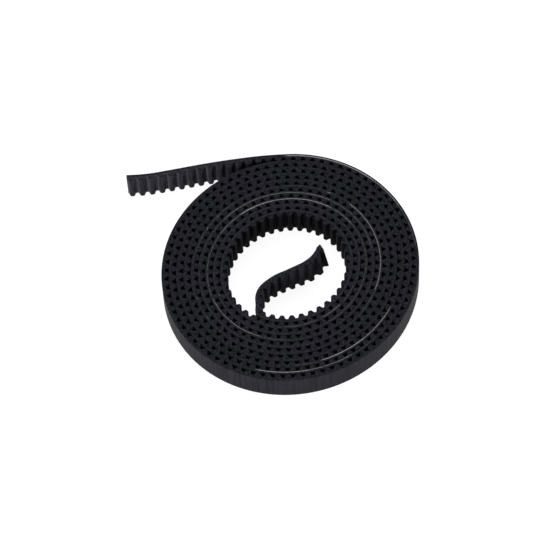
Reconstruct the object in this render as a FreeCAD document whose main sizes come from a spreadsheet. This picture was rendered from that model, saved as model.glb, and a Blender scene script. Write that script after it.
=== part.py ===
"""Open-ended timing belt, 2 mm pitch and 6 mm wide, coiled flat with both ends loose.

The belt stands on one cut edge, so every layer is an upright wall as tall as the belt is wide.
Its bonded layers are the teeth, the glass tension cords that they are moulded to and the back
cover. A belt bends at the thin lands between its teeth, and each tooth keeps the stretch under
it straight. So the belt runs as a chain of flats, each one pitch long on the line of the cords.
Seen from above it winds anticlockwise from its inner end outwards, with its teeth inwards.
"""
import FreeCAD, Part
import Sketcher
import math
import os

UP = FreeCAD.Vector(0, 0, 1)

# Name, value in mm, degrees, turns or teeth, and what it sets.
SIZES = (
    ("tooth_pitch", 2.0, "tooth to tooth along the cords"),
    ("belt_width", 6.0, "from cut edge to cut edge"),
    ("tooth_height", 0.75, "land to tooth tip"),
    ("tooth_tip_width", 0.62, "flat at the tip of a tooth"),
    ("land_width", 0.52, "bare land between the roots of two teeth"),
    ("pitch_line_height", 0.254, "land to the line that keeps its length"),
    ("cord_layer", 0.42, "thickness of the layer of cords"),
    ("cover_thickness", 0.21, "rubber over the cords"),
    ("layer_gap", 0.069, "air between one turn's back and the next turn's teeth"),
    ("coil_radius", 11.944, "mean radius of the cords at the coil's inner end"),
    ("coil_start", -113.4, "direction of the coil's inner end"),
    ("coil_turns", 9.569, "turns from the inner to the outer end of the coil"),
    ("oval_rise", 0.39, "how far the coil is squeezed out of round"),
    ("oval_direction", 44.0, "direction of its long axis"),
)

# Stretch of a loose end, its teeth, and its bend in degrees at each land, anticlockwise positive.
INNER_END = (
    ("departure", 1, -17.1),
    ("crease", 1, -56.0),
    ("stem", 1, -2.0),
    ("sweep", 2, -23.3),
    ("ease", 2, -9.6),
    ("span", 2, 1.1),
    ("lift", 1, 10.2),
    ("tip", 2, 16.5),
)
OUTER_END = (
    ("lean", 4, 1.5),
    ("run", 6, 0.7),
    ("sag", 3, -0.2),
    ("hook", 3, -3.0),
)


def make_sheet(doc):
    """Put every driving size in a spreadsheet, one named cell each."""
    sheet = doc.addObject("Spreadsheet::Sheet", "sizes")
    rows = list(SIZES)
    for name, teeth, bend in INNER_END:
        rows.append((f"inner_{name}_teeth", teeth, f"length of the inner end's {name}"))
        rows.append((f"inner_{name}_bend", bend, f"bend per land of the inner end's {name}"))
    for name, teeth, bend in OUTER_END:
        rows.append((f"outer_{name}_teeth", teeth, f"length of the outer end's {name}"))
        rows.append((f"outer_{name}_bend", bend, f"bend per land of the outer end's {name}"))
    for row, (name, value, meaning) in enumerate(rows, start=1):
        sheet.set(f"A{row}", name)
        sheet.set(f"B{row}", str(value))
        sheet.set(f"C{row}", meaning)
        sheet.setAlias(f"B{row}", name)
    doc.recompute()
    return sheet


def along(angle):
    """Unit vector in the ground plane at an angle in degrees."""
    return FreeCAD.Vector(math.cos(math.radians(angle)), math.sin(math.radians(angle)), 0)


def angle_of(vector):
    """Direction of a vector in degrees."""
    return math.degrees(math.atan2(vector.y, vector.x))


def layer_pitch(sheet):
    """Radial step from one turn to the next: the whole belt and the air beside it."""
    return sheet.tooth_height + sheet.cord_layer + sheet.cover_thickness + sheet.layer_gap


def coil_point(sheet, wound):
    """Point on the cords' line after so many degrees of winding: a spiral, slightly oval."""
    direction = sheet.coil_start + wound
    squeeze = math.cos(math.radians(2 * (direction - sheet.oval_direction)))
    radius = sheet.coil_radius + layer_pitch(sheet) * wound / 360 + sheet.oval_rise * squeeze
    return along(direction) * radius


def next_winding(sheet, wound):
    """Winding angle of the corner one pitch further out, found by scaling the step to fit."""
    here = coil_point(sheet, wound)
    step = math.degrees(sheet.tooth_pitch / here.Length)
    for _ in range(4):
        step *= sheet.tooth_pitch / (coil_point(sheet, wound + step) - here).Length
    return wound + step


def coil_corners(sheet):
    """Corners of the cords' line in the coil, one pitch apart, from the inside out."""
    corners = []
    wound = 0.0
    while wound < 360 * sheet.coil_turns:
        corners.append(coil_point(sheet, wound))
        wound = next_winding(sheet, wound)
    return corners


def end_corners(sheet, last, before, side, stretches):
    """Corners of a loose end that carries on from the last corner of the coil."""
    corners = []
    here = last
    direction = angle_of(last - before)
    for name, _, _ in stretches:
        teeth = round(sheet.get(f"{side}_{name}_teeth"))
        bend = sheet.get(f"{side}_{name}_bend")
        for _ in range(teeth):
            direction += bend
            here = here + along(direction) * sheet.tooth_pitch
            corners.append(here)
    return corners


def shifted(corners, distance):
    """The same chain moved sideways, to its left by a positive distance, with mitred corners."""
    normals = []
    for here, there in zip(corners, corners[1:]):
        normals.append(UP.cross((there - here).normalize()))
    moved = [corners[0] + normals[0] * distance]
    for corner, before, after in zip(corners[1:], normals, normals[1:]):
        moved.append(corner + (before + after) * (distance / (1 + before.dot(after))))
    moved.append(corners[-1] + normals[-1] * distance)
    return moved


def cord_back_corners(corners, inner_count, coil_count):
    """Back of the cords: every corner in the loose ends, and in the gentler coil every second."""
    coil_end = inner_count + coil_count
    in_coil = corners[inner_count:coil_end]
    return corners[:inner_count] + in_coil[::2] + corners[coil_end:]


def add_layer(doc, label, toothed_side, back_side):
    """Upright wall between two lines, as tall as the belt is wide."""
    outline = doc.addObject("Part::Polygon", f"{label}_outline")
    outline.Nodes = toothed_side + back_side[::-1]
    outline.Close = True
    layer = doc.addObject("Part::Extrusion", label)
    layer.Label = label
    layer.Base = outline
    layer.DirMode = "Custom"
    layer.Dir = UP
    layer.Solid = True
    layer.setExpression("LengthFwd", "sizes.belt_width")
    return layer


def add_tooth_form(doc):
    """One moulded tooth: a tapered profile on the land, as long as the belt is wide."""
    body = doc.addObject("PartDesign::Body", "tooth_form")
    plane = [part for part in body.Origin.OriginFeatures if part.Role == "XY_Plane"][0]
    sketch = body.newObject("Sketcher::SketchObject", "tooth_profile")
    sketch.AttachmentSupport = (plane, "")
    sketch.MapMode = "FlatFace"
    corners = ((-1, 0), (1, 0), (0.5, 1), (-0.5, 1))
    for here, there in zip(corners, corners[1:] + corners[:1]):
        start = FreeCAD.Vector(here[0], here[1], 0)
        end = FreeCAD.Vector(there[0], there[1], 0)
        sketch.addGeometry(Part.LineSegment(start, end), False)
    for line in range(4):
        sketch.addConstraint(Sketcher.Constraint("Coincident", line, 2, (line + 1) % 4, 1))
    sketch.addConstraint(Sketcher.Constraint("Symmetric", 0, 1, 0, 2, -1, 1))
    sketch.addConstraint(Sketcher.Constraint("Symmetric", 2, 1, 2, 2, -2))
    root = sketch.addConstraint(Sketcher.Constraint("DistanceX", 0, 1, 0, 2, 2.0))
    tip = sketch.addConstraint(Sketcher.Constraint("DistanceX", 2, 2, 2, 1, 1.0))
    rise = sketch.addConstraint(Sketcher.Constraint("DistanceY", 0, 2, 2, 1, 1.0))
    sketch.setExpression(f"Constraints[{root}]", "sizes.tooth_pitch - sizes.land_width")
    sketch.setExpression(f"Constraints[{tip}]", "sizes.tooth_tip_width")
    sketch.setExpression(f"Constraints[{rise}]", "sizes.tooth_height")
    pad = body.newObject("PartDesign::Pad", "tooth_pad")
    pad.Profile = sketch
    pad.setExpression("Length", "sizes.belt_width")
    return body


def add_teeth(doc, tooth, land_line):
    """The row of teeth: one on the middle of each flat of the land."""
    solids = []
    for here, there in zip(land_line, land_line[1:]):
        solid = tooth.Shape.Solids[0].copy()
        turned = FreeCAD.Rotation(UP, angle_of(there - here))
        solid.Placement = FreeCAD.Placement((here + there) / 2, turned)
        solids.append(solid)
    teeth = doc.addObject("Part::Feature", "teeth")
    teeth.Label = "teeth"
    teeth.Shape = Part.makeCompound(solids)
    return teeth


def check(doc, parts):
    """Stop before anything is written if a feature failed or a sub-part has no good solid."""
    for item in doc.Objects:
        if "Invalid" in item.State or "Error" in item.State:
            raise RuntimeError(f"{item.Label} did not recompute: {item.State}")
    for part in parts:
        if part.Shape.isNull() or not part.Shape.isValid() or not part.Shape.Solids:
            raise RuntimeError(f"{part.Label} has no valid solid")


def write(parts):
    """Write each sub-part to a STEP file named after it."""
    os.makedirs("parts", exist_ok=True)
    for part in parts:
        part.Shape.exportStep(f"parts/{part.Label}.step")
        volume = part.Shape.Volume
        print(f"{part.Label}: {len(part.Shape.Solids)} solids, {volume:.1f} mm3")


doc = FreeCAD.newDocument("timing_belt")
sheet = make_sheet(doc)

coil = coil_corners(sheet)
inner_end = end_corners(sheet, coil[0], coil[1], "inner", INNER_END)
outer_end = end_corners(sheet, coil[-1], coil[-2], "outer", OUTER_END)
cord_line = inner_end[::-1] + coil + outer_end

land_line = shifted(cord_line, sheet.pitch_line_height)
cord_back = shifted(cord_line, sheet.pitch_line_height - sheet.cord_layer)
cord_back = cord_back_corners(cord_back, len(inner_end), len(coil))
belt_back = shifted(
    cord_line, sheet.pitch_line_height - sheet.cord_layer - sheet.cover_thickness
)

tooth = add_tooth_form(doc)
back_cover = add_layer(doc, "back_cover", cord_back, belt_back)
tension_cords = add_layer(doc, "tension_cords", land_line, cord_back)
doc.recompute()
teeth = add_teeth(doc, tooth, land_line)
doc.recompute()

belt_parts = (back_cover, tension_cords, teeth)
check(doc, belt_parts)
write(belt_parts)
print(f"belt length on the cords: {(len(cord_line) - 1) * sheet.tooth_pitch:.0f} mm")
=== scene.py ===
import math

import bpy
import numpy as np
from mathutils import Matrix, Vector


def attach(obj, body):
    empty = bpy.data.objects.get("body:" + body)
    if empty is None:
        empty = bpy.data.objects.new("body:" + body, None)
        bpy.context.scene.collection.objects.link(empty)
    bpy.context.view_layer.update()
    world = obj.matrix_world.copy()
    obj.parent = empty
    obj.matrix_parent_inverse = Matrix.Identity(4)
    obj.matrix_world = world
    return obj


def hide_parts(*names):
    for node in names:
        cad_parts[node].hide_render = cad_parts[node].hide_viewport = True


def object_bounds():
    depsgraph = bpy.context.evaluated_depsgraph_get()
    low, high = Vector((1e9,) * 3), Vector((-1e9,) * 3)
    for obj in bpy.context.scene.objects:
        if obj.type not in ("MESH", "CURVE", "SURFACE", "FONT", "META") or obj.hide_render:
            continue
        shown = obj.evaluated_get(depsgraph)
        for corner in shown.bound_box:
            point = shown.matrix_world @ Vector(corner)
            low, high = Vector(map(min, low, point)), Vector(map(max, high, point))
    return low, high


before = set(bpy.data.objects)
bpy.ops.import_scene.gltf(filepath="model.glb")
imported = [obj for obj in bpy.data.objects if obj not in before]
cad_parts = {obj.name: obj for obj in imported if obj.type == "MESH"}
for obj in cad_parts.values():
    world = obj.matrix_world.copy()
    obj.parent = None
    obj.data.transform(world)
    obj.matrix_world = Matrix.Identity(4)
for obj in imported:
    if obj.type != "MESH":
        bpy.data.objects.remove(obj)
cad_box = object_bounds()

# %% [markdown]
# # A coiled, open-ended timing belt
# A timing belt is one bonded strap. Twisted glass-fibre cords run its whole length and carry the
# pull, a row of moulded rubber teeth meshes with the pulleys, and a thin rubber back covers the
# cords. This one was cut from a roll, wound up loosely and laid on its edge, so every turn stands
# upright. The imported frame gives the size; here each layer gets its real section and finish.

MM = 0.001
BELT_WIDTH = (cad_box[1].z - cad_box[0].z) / MM
print(f"belt width {BELT_WIDTH:.2f} mm")

# %% [markdown]
# ## The route
# The belt needs one line to follow, and everything else is carried along it. A curve object with
# a bevel could do that, but then the teeth would have no exact places. So the route is worked out
# as the belt itself lies: corners exactly one pitch apart. In the coil they sit on a spiral that
# is slightly out of round, and in the loose ends each land bends by its own few degrees.

# %% Sizes of the route, in millimetres and degrees
PITCH = 2.0
TOOTH_HEIGHT = 0.75
LAND_TO_CORD = 0.254
CORD_TO_BACK = 0.376
LAYER_GAP = 0.069
LAYER_STEP = TOOTH_HEIGHT + LAND_TO_CORD + CORD_TO_BACK + LAYER_GAP
COIL_RADIUS = 11.944
COIL_START = -113.4
COIL_TURNS = 9.569
OVAL_RISE = 0.39
OVAL_DIRECTION = 44.0
# Each stretch of a loose end: how many teeth, and the bend at each land.
INNER_END = (
    (1, -17.1),
    (1, -56.0),
    (1, -2.0),
    (2, -23.3),
    (2, -9.6),
    (2, 1.1),
    (1, 10.2),
    (2, 16.5),
)
OUTER_END = ((4, 1.5), (6, 0.7), (3, -0.2), (3, -3.0))


# %% Corners of the route
def coil_line(wound):
    """Spiral point after `wound` degrees: radius = first radius + one layer a turn + oval.

    The oval is OVAL_RISE times the cosine of twice the angle from the long axis.
    """
    direction = np.radians(COIL_START + wound)
    squeeze = np.cos(2 * (direction - math.radians(OVAL_DIRECTION)))
    radius = COIL_RADIUS + LAYER_STEP * wound / 360 + OVAL_RISE * squeeze
    return radius[:, None] * np.stack([np.cos(direction), np.sin(direction)], axis=1)


def coil_winding():
    """Winding angle of each corner: length along the spiral, read back at every pitch.

    A flat of one pitch spans a slightly longer arc, by a part of (pitch / radius) ** 2 / 24.
    """
    wound = np.linspace(0, 360 * COIL_TURNS, 200_000)
    line = coil_line(wound)
    arc = np.linalg.norm(np.diff(line, axis=0), axis=1)
    radius = np.linalg.norm(line[1:], axis=1)
    flats = np.cumsum(arc * (1 - (PITCH / radius) ** 2 / 24))
    return np.interp(np.arange(0, flats[-1], PITCH), flats, wound[1:])


def loose_end(last, before, stretches):
    """Corners past the coil: heading = last heading + running sum of the bends."""
    teeth, bends = np.array(stretches).T
    lead = last - before
    turned = np.radians(np.cumsum(np.repeat(bends, teeth.astype(int))))
    heading = math.atan2(lead[1], lead[0]) + turned
    links = PITCH * np.stack([np.cos(heading), np.sin(heading)], axis=1)
    return last + np.cumsum(links, axis=0)


winding = coil_winding()
coil = coil_line(winding)
inner_end = loose_end(coil[0], coil[1], INNER_END)
outer_end = loose_end(coil[-1], coil[-2], OUTER_END)
corners = np.concatenate([inner_end[::-1], coil, outer_end])
TEETH = len(corners) - 1
print(f"{TEETH} teeth, {TEETH * PITCH:.0f} mm along the cords")

# %% [markdown]
# ## The two cuts
# An open-ended belt is snipped to length, and seldom just at a land. A Boolean could trim the
# finished skins, but it is simpler to start and stop them part way through a pitch. The route
# itself runs on past both cuts.

# %% Where the shears went through, in pitches from each end of the route
INNER_CUT = 0.61
OUTER_CUT = 0.07
FIRST = INNER_CUT
LAST = TEETH - OUTER_CUT
print(f"cut to {(LAST - FIRST) * PITCH:.1f} mm")


# %% [markdown]
# ## From corners to a smooth line
# Rubber rounds the corners off. A Catmull-Rom curve goes through every corner and leaves each one
# along the chord between its neighbours, which is how a springy strap lies. A position on it is a
# number of pitches from the inner end, so tooth 7 is always at 7.5, whatever the curve does.

# %% Points and sideways directions anywhere on the route
def on_route(place):
    """Point and left-hand normal at each place, counted in pitches from the inner end.

    Hermite blend of two corners p, q and their slopes m, n:
    p (2u3 - 3u2 + 1) + m (u3 - 2u2 + u) + q (3u2 - 2u3) + n (u3 - u2), and its derivative.
    """
    padded = np.concatenate([[2 * corners[0] - corners[1]], corners, [2 * corners[-1] - corners[-2]]])
    slopes = (padded[2:] - padded[:-2]) / 2
    first = np.clip(np.floor(place).astype(int), 0, TEETH - 1)
    u = (place - first)[:, None]
    p, q, m, n = corners[first], corners[first + 1], slopes[first], slopes[first + 1]
    point = p * (2 * u**3 - 3 * u**2 + 1) + m * (u**3 - 2 * u**2 + u)
    point += q * (3 * u**2 - 2 * u**3) + n * (u**3 - u**2)
    run = (p - q) * (6 * u**2 - 6 * u) + m * (3 * u**2 - 4 * u + 1) + n * (3 * u**2 - 2 * u)
    run /= np.linalg.norm(run, axis=1, keepdims=True)
    return point, np.stack([-run[:, 1], run[:, 0]], axis=1)


# %% [markdown]
# ## The inner tip
# The inner end no longer stands straight. Over its last few teeth the foot is pushed out towards
# the toothed side and the top stays back, and the shears pinched its end to an edge along the
# cords. A Lattice could lean it. A shift worked out from place and height is as short, and it
# moves the teeth, the cords and the back together, so they stay bonded.

# %% Shift of every point near the inner tip
LEAN_LENGTH = 5.0
FOOT_OUT = 0.88
TOP_BACK = 0.15
NIP_LENGTH = 0.5
NIP = 0.85


def tip_shift(place, offset, height, normal):
    """Shift in the ground plane near the inner tip, where fade falls from 1 to 0 over LEAN_LENGTH.

    Sideways: fade squared * (FOOT_OUT * (1 - rise) - TOP_BACK * rise), rise = height / width.
    Out past the cut: NIP at the cords' line, 0 at CORD_TO_BACK from it, fading over NIP_LENGTH.
    Both lengths are in pitches, and the shifts are in millimetres.
    """
    rise = height / BELT_WIDTH
    fade = np.clip(1 - (place - FIRST) / LEAN_LENGTH, 0, 1)[:, None]
    sideways = fade**2 * (FOOT_OUT * (1 - rise) - TOP_BACK * rise)
    near = np.clip(1 - (place - FIRST) / NIP_LENGTH, 0, 1)[:, None]
    onwards = NIP * near * np.clip(1 - np.abs(offset) / CORD_TO_BACK, 0, 1)
    beyond = np.stack([-normal[:, 1], normal[:, 0]], axis=1)
    return sideways[:, :, None] * normal[:, None, :] + onwards[:, :, None] * beyond[:, None, :]


# %% [markdown]
# ## A profile carried along the route
# Every layer of the belt is the same idea: a closed ring of points around its cross-section, moved
# from station to station. A ring point has an offset from the cords, positive towards the teeth,
# and a height above the ground. Where the offset changes from station to station, the skin rises
# and falls, and that is all a tooth is. Each vertex also keeps its place along the belt, its
# offset and its height in an attribute, so that materials can follow the belt round its turns.

# %% Build a skin from rings
def carry(name, place, offsets, heights):
    """Mesh of rings: vertex (i, j) = route(place i) + normal(place i) * offset(i, j), height(i, j).

    Rings run from the toothed side down, under and up again, which turns the faces outwards.
    """
    point, normal = on_route(place)
    shape = np.broadcast_shapes(np.shape(offsets), np.shape(heights), (len(place), 1))
    offset = np.broadcast_to(offsets, shape)
    height = np.broadcast_to(heights, shape)
    flat = point[:, None, :] + normal[:, None, :] * offset[:, :, None]
    flat = flat + tip_shift(place, offset, height, normal)
    vertices = np.concatenate([flat, height[:, :, None]], axis=2).reshape(-1, 3) * MM

    stations, ring = shape
    i, j = np.meshgrid(np.arange(stations - 1), np.arange(ring), indexing="ij")
    after = (j + 1) % ring
    here = i * ring
    there = here + ring
    quads = np.stack([here + j, there + j, there + after, here + after], axis=2)
    caps = [list(range(ring)), list(range((stations - 1) * ring, stations * ring))[::-1]]
    mesh = bpy.data.meshes.new(name)
    mesh.from_pydata(vertices, [], quads.reshape(-1, 4).tolist() + caps)
    mesh.validate()

    along = np.broadcast_to((place * PITCH)[:, None], shape)
    where = np.stack([along, offset, height], axis=2).astype(np.float32)
    mesh.attributes.new("belt", "FLOAT_VECTOR", "POINT").data.foreach_set("vector", where.ravel())
    piece = bpy.data.objects.new(name, mesh)
    bpy.context.scene.collection.objects.link(piece)
    return piece


def smooth(piece, crease):
    """Round shading, kept sharp where two faces meet at more than `crease` degrees."""
    piece.data.polygons.foreach_set("use_smooth", [True] * len(piece.data.polygons))
    piece.data.set_sharp_from_angle(angle=math.radians(crease))


def report(piece):
    """Print how many triangles a piece has."""
    count = sum(len(face.vertices) - 2 for face in piece.data.polygons)
    print(f"{piece.name}: {count} triangles")


# %% [markdown]
# ## The teeth
# The teeth are moulded, so nothing on them is sharp: straight flanks, a rounded tip and a small
# fillet down to the land. Modelling one tooth and repeating it with an Array would leave seams at
# the lands. Instead the profile of one pitch is worked out from its arcs and laid end to end, so
# the whole toothed side is one skin. The two cut edges get a narrow worn chamfer. Rubber gives
# a little where turns lean on each other, so the tips and the back swell by SNUG and all but touch.

# %% Profile of one tooth
SNUG = 0.03
TIP_HEIGHT = TOOTH_HEIGHT + SNUG
ROOT_HALF = 0.74
TIP_HALF = 0.37
TIP_ROUND = 0.28
ROOT_ROUND = 0.17
CUT_CHAMFER = 0.04
TIP_POINTS = 4
ROOT_POINTS = 3


def tooth_profile():
    """Half a pitch from tip to land, mirrored: arcs tangent to the tip, the flank and the land.

    The flank leans by the angle whose tangent is (root half - tip half) / height. An arc that
    rounds the corner between a level line and the flank starts radius * tan(turn / 2) before it.
    """
    lean = math.atan2(ROOT_HALF - TIP_HALF, TIP_HEIGHT)
    turn = math.pi / 2 - lean
    tip_x = TIP_HALF - TIP_ROUND * math.tan(turn / 2)
    sweep = np.linspace(0, turn, TIP_POINTS)
    drop = TIP_ROUND * (1 - np.cos(sweep))
    tip = np.stack([tip_x + TIP_ROUND * np.sin(sweep), TIP_HEIGHT - drop], 1)
    root_x = ROOT_HALF + ROOT_ROUND * math.tan(turn / 2)
    sweep = np.linspace(turn, 0, ROOT_POINTS)
    root = np.stack([root_x - ROOT_ROUND * np.sin(sweep), ROOT_ROUND * (1 - np.cos(sweep))], 1)
    half = np.concatenate([tip, root])
    mirrored = half[::-1] * (-1, 1)
    return np.concatenate([mirrored, half])


profile = tooth_profile()
print(f"{len(profile)} profile points to a tooth")

# %% Profiles end to end, from cut to cut
CLEAR = 0.01
places = (np.arange(TEETH)[:, None] + 0.5 + profile[None, :, 0] / PITCH).ravel()
depths = np.tile(profile[:, 1], TEETH)
kept = (places > FIRST + CLEAR) & (places < LAST - CLEAR)
ends = np.interp([FIRST, LAST], places, depths)
places = np.concatenate([[FIRST], places[kept], [LAST]])
depths = np.concatenate([ends[:1], depths[kept], ends[1:]])
print(f"{len(places)} stations")

# %% Skin of the toothed side, from the cords inwards
RUBBER_CREASE = 32
toothed = (LAND_TO_CORD + depths)[:, None]
seam = np.zeros_like(toothed)
teeth = carry(
    "teeth_rubber",
    places,
    np.hstack([toothed - CUT_CHAMFER, toothed, toothed, toothed - CUT_CHAMFER, seam, seam]),
    np.array([[BELT_WIDTH, BELT_WIDTH - CUT_CHAMFER, CUT_CHAMFER, 0, 0, BELT_WIDTH]]),
)
smooth(teeth, RUBBER_CREASE)
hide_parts("teeth")
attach(teeth, "root")
report(teeth)

# %% [markdown]
# ## The back cover
# The back is one smooth skin of rubber over the cords. A Solidify modifier on the toothed skin
# would copy its teeth through, so the back is a second profile on the same route. With no teeth to
# follow, four stations to a pitch are enough to keep its curve round.

# %% Skin of the back, from the cords outwards
BACK_STATIONS = 4
BACK = -CORD_TO_BACK - SNUG
back_places = np.linspace(FIRST, LAST, TEETH * BACK_STATIONS + 1)
cover = carry(
    "back_rubber",
    back_places,
    np.array([[0, 0, BACK + CUT_CHAMFER, BACK, BACK, BACK + CUT_CHAMFER]]),
    np.array([[BELT_WIDTH, 0, 0, CUT_CHAMFER, BELT_WIDTH - CUT_CHAMFER, BELT_WIDTH]]),
)
smooth(cover, RUBBER_CREASE)
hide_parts("back_cover")
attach(cover, "root")
report(cover)

# %% [markdown]
# ## The tension cords
# Eight twisted strands lie side by side across the belt, sunk in the rubber. Bevelled curves would
# do, but the rings already know the route and the shift of the tip. Only the strands' cut ends
# show, as pale dots in the end faces, so each is a plain six-sided tube whose ends stand a hair
# proud of the cut.

# %% Eight strands through the belt
CORD_COUNT = 8
CORD_RADIUS = 0.15
CORD_SIDES = 6
CORD_STATIONS = 2
CORD_CREASE = 75
PROUD = 0.02 / PITCH
cord_places = np.linspace(FIRST - PROUD, LAST + PROUD, TEETH * CORD_STATIONS + 1)
around = -np.arange(CORD_SIDES) * 2 * math.pi / CORD_SIDES
strands = []
for number in range(CORD_COUNT):
    middle = BELT_WIDTH * (number + 0.5) / CORD_COUNT
    strand = carry(
        f"cord_{number + 1}",
        cord_places,
        CORD_RADIUS * np.cos(around)[None, :],
        middle + CORD_RADIUS * np.sin(around)[None, :],
    )
    strands.append(strand)


def join(name, pieces):
    """Merge several meshes into one object and return it under a new name."""
    with bpy.context.temp_override(active_object=pieces[0], selected_editable_objects=pieces):
        bpy.ops.object.join()
    pieces[0].name = name
    return pieces[0]


cords = join("glass_cords", strands)
smooth(cords, CORD_CREASE)
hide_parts("tension_cords")
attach(cords, "root")
report(cords)

# %% [markdown]
# ## Cord laid bare by the knife
# The belt was slit from a wide sleeve whose cord is wound at a slight angle, so along some
# stretches the knife split the outermost cord and its pale fibres lie open on the edge. Hair would
# give finer fuzz, but it isn't a mesh. So each bare stretch is three yarns twisted round each
# other, half sunk in the edge, that rise out of the rubber and sink back at their ends. How bare a
# stretch is also goes into an attribute, for its colour.

# %% Where the cord is bare: from and to, in turns from the coil's inner end, and how bare
BARE = (
    (0.07, 0.09, 0.4),
    (1.04, 1.13, 0.45),
    (1.13, 1.20, 0.6),
    (1.20, 1.26, 0.35),
    (1.87, 1.88, 0.6),
    (2.13, 2.42, 0.35),
    (2.40, 2.47, 0.6),
    (2.46, 2.59, 0.85),
    (2.58, 2.67, 1.1),
    (2.66, 2.73, 0.6),
    (2.72, 2.88, 0.45),
    (2.87, 3.01, 0.6),
    (3.00, 3.06, 0.35),
    (3.34, 3.48, 0.45),
    (3.47, 3.70, 0.6),
    (3.68, 3.77, 0.3),
    (4.20, 4.26, 0.35),
    (4.25, 4.45, 0.75),
    (4.48, 4.49, 0.9),
    (4.55, 4.56, 0.5),
    (4.65, 4.78, 0.3),
    (4.69, 4.70, 0.8),
    (4.72, 4.73, 0.8),
    (4.74, 4.75, 0.7),
    (4.86, 4.87, 0.6),
    (4.90, 4.91, 0.6),
    (7.06, 7.10, 0.4),
    (7.10, 7.18, 1.1),
    (7.17, 7.24, 0.8),
    (8.01, 8.09, 0.95),
    (8.08, 8.15, 0.65),
    (8.14, 8.19, 0.3),
    (9.33, 9.40, 0.45),
    (9.39, 9.45, 0.75),
    (9.44, 9.58, 1.3),
)
print(f"{len(BARE)} bare stretches")

# %% Three yarns twisted round each other
YARNS = 3
YARN_RADIUS = 0.045
YARN_SIDES = 4
YARN_CREASE = 80
YARN_STEP = 0.16
TWIST_RADIUS = 0.05
TWIST_LENGTH = 1.3
FADE = 1.2


def place_of(turns):
    """Pitches from the inner end at a number of turns of the coil."""
    return len(inner_end) + np.interp(turns * 360, winding, np.arange(len(winding)))


def bare_yarn(number, start, end, bare):
    """One yarn: a flattened helix round the cord's line, at the height of the cut edge.

    Swell = square root of (distance to the nearer end / FADE), at most 1. The helix has radius
    TWIST_RADIUS * swell, the yarn YARN_RADIUS * swell, thinner where less bare. The whole is
    lowered by TWIST_RADIUS * (1.5 - swell - bare / 2), so it rises out of the edge and sinks back.
    """
    first, last = place_of(start), place_of(end)
    count = max(4, round((last - first) * PITCH / YARN_STEP))
    place = np.linspace(first, last, count)
    run = (place - first) * PITCH
    fade = min(FADE, run[-1] / 2)
    swell = np.clip(np.minimum(run, run[-1] - run) / fade, 0.05, 1) ** 0.5
    phase = 2 * math.pi * (place * PITCH / TWIST_LENGTH + number / YARNS)
    turns = -np.arange(YARN_SIDES) * 2 * math.pi / YARN_SIDES
    thick = (YARN_RADIUS * swell * (0.6 + 0.4 * bare))[:, None]
    sideways = (TWIST_RADIUS * swell * np.cos(phase))[:, None]
    lift = TWIST_RADIUS * (0.6 * np.sin(phase) - (1.5 - swell - 0.5 * bare))[:, None]
    yarn = carry(
        "yarn",
        place,
        sideways + thick * np.cos(turns)[None, :],
        BELT_WIDTH + lift + thick * np.sin(turns)[None, :],
    )
    shown = np.repeat(bare * swell, YARN_SIDES).astype(np.float32)
    yarn.data.attributes.new("bare", "FLOAT", "POINT").data.foreach_set("value", shown)
    return yarn


yarns = [bare_yarn(number, *stretch) for stretch in BARE for number in range(YARNS)]
bare_cord = join("bare_cord", yarns)
smooth(bare_cord, YARN_CREASE)
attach(bare_cord, "root")
report(bare_cord)

# %% [markdown]
# ## Shader maths as plain expressions
# Materials read best as arithmetic. `Value` wraps a socket so that + - * / build Math nodes, and
# `Finish.node` makes any other node from its type, its settings and its inputs.

# %% Arithmetic on sockets
class Value:
    """A number that varies over a surface: one output socket of a material's nodes."""

    def __init__(self, finish, socket):
        self.finish = finish
        self.socket = socket

    def math(self, operation, first, second):
        """Math node on two numbers or sockets."""
        return self.finish.node("ShaderNodeMath", {"operation": operation}, {0: first, 1: second})

    def __add__(self, other):
        return self.math("ADD", self, other)

    def __sub__(self, other):
        return self.math("SUBTRACT", self, other)

    def __rsub__(self, other):
        return self.math("SUBTRACT", other, self)

    def __mul__(self, other):
        return self.math("MULTIPLY", self, other)

    __radd__ = __add__
    __rmul__ = __mul__


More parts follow.
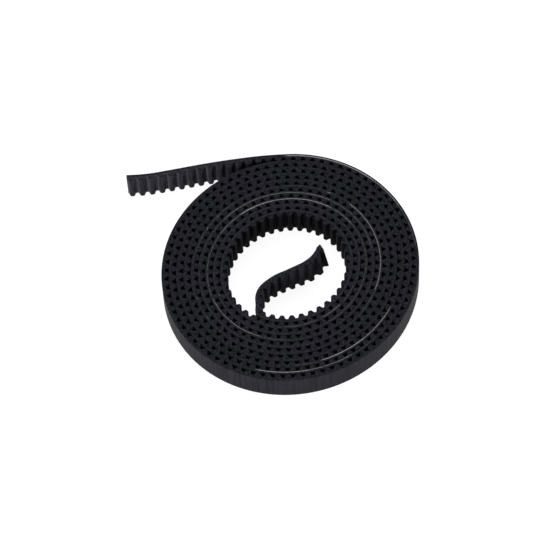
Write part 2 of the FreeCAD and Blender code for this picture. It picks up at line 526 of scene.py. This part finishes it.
# %% A material that is filled node by node
class Finish:
    """A material and short ways to fill its node tree."""

    def __init__(self, name):
        self.material = bpy.data.materials.new(name)
        self.material.use_nodes = True
        self.tree = self.material.node_tree
        self.tree.nodes.clear()

    def node(self, kind, settings=None, inputs=None, output=0):
        """Add a node, set its settings, then set or link its inputs; give back one output."""
        made = self.tree.nodes.new(kind)
        for name, setting in (settings or {}).items():
            setattr(made, name, setting)
        for name, value in (inputs or {}).items():
            if isinstance(value, Value):
                self.tree.links.new(value.socket, made.inputs[name])
            else:
                made.inputs[name].default_value = value
        return None if output is None else Value(self, made.outputs[output])

    def belt_place(self):
        """Place along the belt, offset from the cords and height, all in millimetres."""
        vector = self.node("ShaderNodeAttribute", {"attribute_name": "belt"}, output="Vector")
        return [self.node("ShaderNodeSeparateXYZ", None, {0: vector}, axis) for axis in "XYZ"]

    def noise(self, vector, scale, detail):
        """Noise between 0 and 1 on a vector."""
        inputs = {"Vector": vector, "Scale": scale, "Detail": detail}
        return self.node("ShaderNodeTexNoise", None, inputs)

    def ramp(self, value, low, high):
        """0 below `low`, 1 above `high`, smooth between."""
        inputs = {"Value": value, "From Min": low, "From Max": high}
        return self.node("ShaderNodeMapRange", {"interpolation_type": "SMOOTHSTEP"}, inputs)

    def vector(self, x, y, z):
        """Three numbers as one vector."""
        return self.node("ShaderNodeCombineXYZ", None, {"X": x, "Y": y, "Z": z})

    def blend(self, amount, first, second, clamped=True):
        """Mix two colours; unclamped, an amount past 1 goes on beyond the second."""
        settings = {"data_type": "RGBA", "clamp_factor": clamped}
        return self.node("ShaderNodeMix", settings, {"Factor": amount, 6: first, 7: second}, 2)

    def surface(self, inputs):
        """Finish with a Principled surface."""
        return self.show(self.node("ShaderNodeBsdfPrincipled", None, inputs))

    def show(self, shader):
        """Link a shader to the output and give back the material."""
        self.node("ShaderNodeOutputMaterial", None, {"Surface": shader}, None)
        print(f"{self.material.name}: {len(self.tree.nodes)} nodes")
        return self.material


# %% [markdown]
# ## Rubber
# The rubber is near black with a blue cast and a dull sheen. On the walls it carries faint
# streaks across the belt, left by the mould and the cords' lay, so one noise is stretched along
# the height. On the two cut edges the knife leaves a mottled face with pale specks of fibre. An
# unwrapped texture could do this, but 1.2 m of belt would need a very long one. Noise placed by
# the belt's own attribute keeps to the rubber round every turn, at one scale.

# %% Patterns that follow the belt
def patterns(finish, along, across, height):
    """Broad and thin streaks, a grain and a finer one, each a noise between 0 and 1.

    A streak is noise on the place along the belt with hardly any height in it.
    """
    broad = finish.noise(finish.vector(along * 1.2, across * 0.5, height * 0.06), 1.0, 1.0)
    thin = finish.noise(finish.vector(along * 4.0, across, height * 0.10), 1.0, 2.0)
    grain = finish.noise(finish.vector(along, across, height), 2.0, 3.0)
    fine = finish.noise(finish.vector(along, across, height), 8.0, 2.0)
    return broad, thin, grain, fine


# %% [markdown]
# ## Painted light on the ends, painted shade in the hole, and smeared rubber
# A belt isn't equally black all over. The two loose ends are painted lighter, most of all in
# their gaps: painted light standing in for light off the white ground. The toothed wall round the
# hole is painted darkest: painted shade. On the inner turns the knife smeared the cover's edge a
# little paler. Painting vertices would do for one belt; ramps on the place along the belt say the
# same in four lines.

# %% Where they begin and end, in millimetres along the belt
BELT_END = TEETH * PITCH
COIL_FROM = len(inner_end) * PITCH
# Spans of the painted light on the loose ends and of the painted shade round the hole.
OUTER_LIGHT_SPAN = (BELT_END - 36, BELT_END - 8)
INNER_LIGHT_SPAN = (COIL_FROM + 2, COIL_FROM - 8)
HOLE_SHADE_FROM = (COIL_FROM - 2, COIL_FROM + 8)
HOLE_SHADE_TO = (COIL_FROM + 85, COIL_FROM + 76)
SMEARED_TO = (620, 450)
print(f"dust from {OUTER_LIGHT_SPAN[0]:.0f} mm and up to {INNER_LIGHT_SPAN[0]:.0f} mm")

# %% Rubber for the teeth and the back
TEAL = (0.80, 0.98, 1.18)
PLUM = (0.98, 0.92, 1.30)
CAST_PATCHES = 130
DARKEST = 0.4
LIGHTEST = 2.0
# Pale grey of the painted light on the loose ends.
END_LIGHT_GREY = (0.086, 0.083, 0.103, 1)
FIBRE = (0.08, 0.08, 0.09, 1)
CUT_DEPTH = 0.02
RELIEF = 0.06


def rubber(name, tone, painted_light, smear, gloss):
    """Dark rubber of a linear tone, streaked on its walls and mottled on its cut edges.

    Colour = tone * (DARKEST to LIGHTEST, by the patterns) * a cast between teal and plum, then
    a pale grey of painted light on the loose ends, most of all in the gaps, then specks of FIBRE.
    `smear` lifts the cut edge of the inner turns, and in the hole the walls get painted shade,
    darker than DARKEST.
    """
    finish = Finish(name)
    along, across, height = finish.belt_place()
    broad, thin, grain, fine = patterns(finish, along, across, height)
    streak = finish.ramp(broad * 0.4 + thin * 0.6, 0.34, 0.66)
    mottle = finish.ramp(grain * 0.55 + fine * 0.45, 0.38, 0.62)
    upper_cut = finish.ramp(height, BELT_WIDTH - CUT_DEPTH, BELT_WIDTH)
    cut = upper_cut + finish.ramp(height, CUT_DEPTH, 0.0)
    wall = 1 - cut

    # Painted light: the loose ends are painted lighter, most of all in the gaps between teeth.
    outer = finish.ramp(along, *OUTER_LIGHT_SPAN)
    inner = finish.ramp(along, *INNER_LIGHT_SPAN)
    gap = finish.ramp(across, 0.95, 0.30) * finish.ramp(across, -0.1, 0.1)
    painted_end_light = (outer + inner * 0.2) * (0.35 + 1.1 * gap) * (wall * 0.8 + 0.2) * painted_light
    painted_end_light = painted_end_light * (0.25 + finish.ramp(thin, 0.42, 0.58) * 0.55 + mottle * 0.5)

    # Painted shade: the toothed wall round the hole is painted darker than DARKEST.
    toothed_wall = wall * finish.ramp(across, 0.0, 0.1)
    hole_shade = finish.ramp(along, *HOLE_SHADE_FROM) * finish.ramp(along, *HOLE_SHADE_TO) * toothed_wall
    smeared = mottle + smear * finish.ramp(along, *SMEARED_TO)
    shade = wall * (streak * 0.5 + mottle * 0.4) + cut * smeared
    shade = shade * (1 - 0.85 * hole_shade) - 0.17 * hole_shade

    ground = finish.node("ShaderNodeTexCoord", output="Object")
    patches = finish.ramp(finish.noise(ground, CAST_PATCHES, 2.0), 0.42, 0.58)
    cast = patches + wall + outer
    ends = []
    for level in (DARKEST * tone, LIGHTEST * tone):
        teal, plum = ([level * part for part in hue] + [1] for hue in (TEAL, PLUM))
        ends.append(finish.blend(cast, teal, plum))
    colour = finish.blend(shade, *ends, clamped=False)
    # Painted light blended onto the loose ends.
    colour = finish.blend(painted_end_light, colour, END_LIGHT_GREY)
    specks = finish.ramp(fine, 0.64, 0.72) * (0.35 + 0.65 * cut)
    colour = finish.blend(specks * 0.6, colour, FIBRE)

    relief = streak * wall * 0.5 + fine * 0.4 + grain * 0.6
    inputs = {"Strength": 0.7, "Distance": RELIEF * MM, "Height": relief}
    bump = finish.node("ShaderNodeBump", None, inputs)
    return finish.surface(
        {
            "Base Color": colour,
            "Roughness": 0.45 + 0.25 * grain + 0.2 * cut,
            "Specular IOR Level": gloss,
            "Normal": bump,
        }
    )


# The third number is how much painted light the loose ends get.
teeth.data.materials.append(rubber("tooth rubber", 0.0155, 0.85, 0.0, 0.015))
cover.data.materials.append(rubber("back rubber", 0.0145, 0.06, 0.25, 0.05))

# %% [markdown]
# ## Glass fibre
# The strands are fine glass filaments dipped in dark latex. Fresh from the knife the filaments
# are silvery, and where rubber still smears them they stay grey, so the colour follows how bare
# the stretch is. A fast noise along the strand breaks the line up into tufts.

# %% Glass-fibre yarn, bare on the edge and dipped inside
DIPPED = (0.022, 0.022, 0.026, 1)
CUT_END = (0.35, 0.34, 0.35, 1)
SILVER = (0.30, 0.29, 0.31, 1)
BARE_INSIDE = 0.45


def glass(name, follows_bare, pale):
    """Yarn colour from DIPPED to `pale`: tufts of noise plus how bare the strand is there."""
    finish = Finish(name)
    along, across, height = finish.belt_place()
    bare = BARE_INSIDE
    if follows_bare:
        bare = finish.node("ShaderNodeAttribute", {"attribute_name": "bare"}, output="Fac")
    tufts = finish.noise(finish.vector(along * 1.4, across * 4, height * 4), 1.0, 3.0)
    colour = finish.blend(finish.ramp(tufts + bare, 0.7, 1.6), DIPPED, pale)
    return finish.surface({"Base Color": colour, "Roughness": 0.5 + 0.2 * tufts})


cords.data.materials.append(glass("dipped cord", False, CUT_END))
bare_cord.data.materials.append(glass("bare cord", True, SILVER))

# %% [markdown]
# ## White ground
# The belt lies on a plain white ground. More lamps would turn the ground white, but the belt grey
# with it. So the ground glows a little for the camera and for reflections only: it looks white,
# it still takes the belt's shadow, and it lights the belt as plain paper would.

# %% White ground
HALF_SIZE = 3.0
PAPER = (0.8, 0.8, 0.8, 1)
SHADED_PART = (0.22, 0.22, 0.22, 1)
GLOW = 0.92
square = [(-HALF_SIZE, -HALF_SIZE, 0), (HALF_SIZE, -HALF_SIZE, 0)]
square += [(HALF_SIZE, HALF_SIZE, 0), (-HALF_SIZE, HALF_SIZE, 0)]
ground_mesh = bpy.data.meshes.new("ground")
ground_mesh.from_pydata(square, [], [(0, 1, 2, 3)])
ground = bpy.data.objects.new("ground", ground_mesh)
bpy.context.scene.collection.objects.link(ground)

paper = Finish("paper")
seen = paper.node("ShaderNodeLightPath", output="Is Camera Ray")
for ray in ("Is Glossy Ray", "Is Transmission Ray"):
    seen = seen + paper.node("ShaderNodeLightPath", output=ray)
plain = paper.node("ShaderNodeBsdfDiffuse", None, {"Color": PAPER})
shown = paper.node("ShaderNodeBsdfDiffuse", None, {"Color": SHADED_PART})
glow = paper.node("ShaderNodeEmission", None, {"Color": (1, 1, 1, 1), "Strength": GLOW})
shown = paper.node("ShaderNodeAddShader", None, {0: shown, 1: glow})
white = paper.show(paper.node("ShaderNodeMixShader", None, {0: seen, 1: plain, 2: shown}))
ground.data.materials.append(white)

# %% [markdown]
# ## Soft light
# Black rubber shows its shape only by where it is a little lighter. An even world light fills the
# gaps, a large lamp above and behind lights the cut edge, and a low one on each side grazes the
# outer wall and rounds it.

# %% Soft light
SKY = 0.22
world = bpy.data.worlds.new("studio")
bpy.context.scene.world = world
world.use_nodes = True
world.node_tree.nodes["Background"].inputs["Color"].default_value = (1, 1, 1, 1)
world.node_tree.nodes["Background"].inputs["Strength"].default_value = SKY


def softbox(name, place, size, watts):
    """Square area lamp that faces the belt, with its place and size in metres.

    A lamp shines down its own -Z: tilt by the angle whose cosine is minus the aim's height, then
    turn about Z until that tilt points along the aim's heading.
    """
    lamp = bpy.data.lights.new(name, "AREA")
    lamp.size = size
    lamp.energy = watts
    box = bpy.data.objects.new(name, lamp)
    box.location = place
    aim = -np.array(place) / np.linalg.norm(place)
    turn = math.atan2(aim[1], aim[0])
    box.rotation_euler = (math.acos(-aim[2]), 0, turn - math.pi / 2)
    bpy.context.scene.collection.objects.link(box)
    print(f"{name}: {watts} W, {size} m wide")


softbox("top_light", (-0.05, 0.40, 0.72), 0.6, 3.6)
softbox("right_light", (0.62, -0.30, 0.16), 0.3, 2.4)
softbox("left_light", (-0.55, -0.50, 0.22), 0.3, 4.0)

# %% [markdown]
# ## Camera
# A long lens from far away keeps the turns almost parallel. The camera looks steeply down and is
# rolled a few degrees. Its axes are worked out as three unit vectors and set as one matrix, which
# is plainer than three turns in the right order.

# %% Camera
ELEVATION = math.radians(60.0)
ROLL = math.radians(3.5)
DISTANCE = 0.674
LENS = 223.5
SENSOR = 36
# How far the coil's centre lies from the middle of the view, to the right and up, in millimetres.
OFF_CENTRE = (2.65, 1.65)

ahead = np.array([0, math.cos(ELEVATION), -math.sin(ELEVATION)])
level = np.array([1.0, 0.0, 0.0])
upright = np.array([0, math.sin(ELEVATION), math.cos(ELEVATION)])
right = level * math.cos(ROLL) - upright * math.sin(ROLL)
up = level * math.sin(ROLL) + upright * math.cos(ROLL)
target = np.array([0, 0, BELT_WIDTH]) - right * OFF_CENTRE[0] - up * OFF_CENTRE[1]
place = target * MM - ahead * DISTANCE

lens = bpy.data.cameras.new("camera")
lens.lens = LENS
lens.sensor_width = SENSOR
camera = bpy.data.objects.new("camera", lens)
matrix = np.eye(4)
matrix[:3, :3] = np.stack([right, up, -ahead], axis=1)
matrix[:3, 3] = place
camera.matrix_world = matrix.T.tolist()
bpy.context.scene.collection.objects.link(camera)
bpy.context.scene.camera = camera
bpy.context.scene.view_settings.view_transform = "Standard"
print(f"camera {np.linalg.norm(place):.3f} m from the coil's centre")
